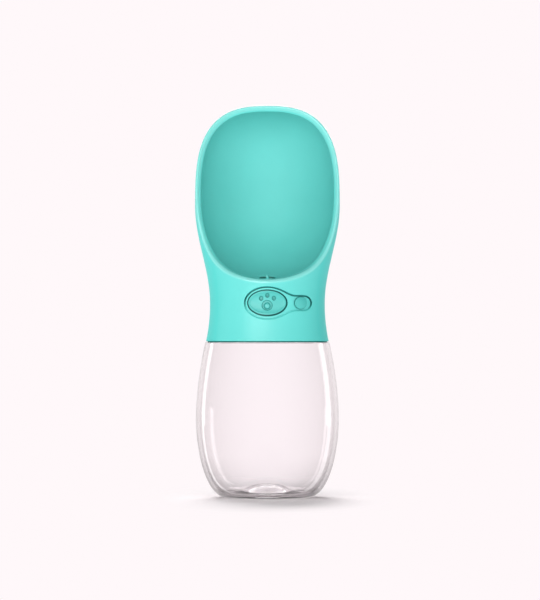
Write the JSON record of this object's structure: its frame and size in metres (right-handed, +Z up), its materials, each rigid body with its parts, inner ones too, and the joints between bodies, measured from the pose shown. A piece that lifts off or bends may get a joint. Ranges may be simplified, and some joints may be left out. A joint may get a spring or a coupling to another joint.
{
  "type": "dog travel water bottle",
  "caption": "Clear bottle under a screw-on head cut open into a drinking scoop, with a press button that opens a valve and a sliding lock beside it.",
  "frame": {"origin": "centre of the flat ring that the bottle stands on", "axes": "+Z up along the bottle's axis, the open side of the scoop and the button face -Y, +X to the right of someone facing the button"},
  "size_m": [0.0832, 0.0827, 0.2255],
  "materials": {
    "bottle_clear": "clear glossy copolyester",
    "head_teal": "satin moulded ABS",
    "button_teal": "satin moulded ABS",
    "inner_white": "moulded polypropylene",
    "silicone": "translucent white food silicone",
    "steel": "drawn stainless steel"
  },
  "bodies": {
    "bottle": {"bottle": "bottle_clear"},
    "seal": {"neck_gasket": "silicone"},
    "head": {"scoop_shell": "head_teal", "strap_eye": "head_teal", "inner_cap": "inner_white", "cap_screws": "steel", "valve_housing": "inner_white", "housing_seal": "silicone", "chamber_cover": "inner_white", "cover_seal": "silicone", "outlet_seal": "silicone", "outlet_strainer": "head_teal"},
    "button": {"button_cap": "button_teal", "plunger": "inner_white", "front_o_ring": "silicone", "rear_o_ring": "silicone", "cam_slide": "inner_white", "button_spring": "steel"},
    "valve": {"valve_poppet": "inner_white", "valve_seal": "silicone", "spring_clip": "steel", "valve_spring": "steel"},
    "lock": {"lock_slider": "button_teal"}
  },
  "joints": [
    {"name": "head_lift", "type": "slide", "parent": "bottle", "child": "seal", "axis": [0, 0, 1], "range_m": [0, 0.006]},
    {"name": "head_turn", "type": "hinge", "parent": "seal", "child": "head", "pos_m": [0, 0, 0.0998], "axis": [0, 0, 1], "range_deg": [0, 540]},
    {"name": "button_press", "type": "slide", "parent": "head", "child": "button", "axis": [0, 1, 0], "range_m": [0, 0.0036], "stiffness_N_per_m": 500, "springref_m": -0.004, "deforming": ["button_spring"]},
    {"name": "valve_lift", "type": "slide", "parent": "head", "child": "valve", "axis": [0, 0, -1], "range_m": [0, 0.0022], "deforming": ["valve_spring"]},
    {"name": "lock_slide", "type": "hinge", "parent": "head", "child": "lock", "pos_m": [0, 0, 0.1114], "axis": [0, 0, 1], "range_deg": [-4, 0]}
  ],
  "couplings": [
    {"joint": "head_lift", "follows": "head_turn", "m_per_rad": 0.00063662},
    {"joint": "valve_lift", "follows": "button_press", "ratio": 0.61111}
  ]
}
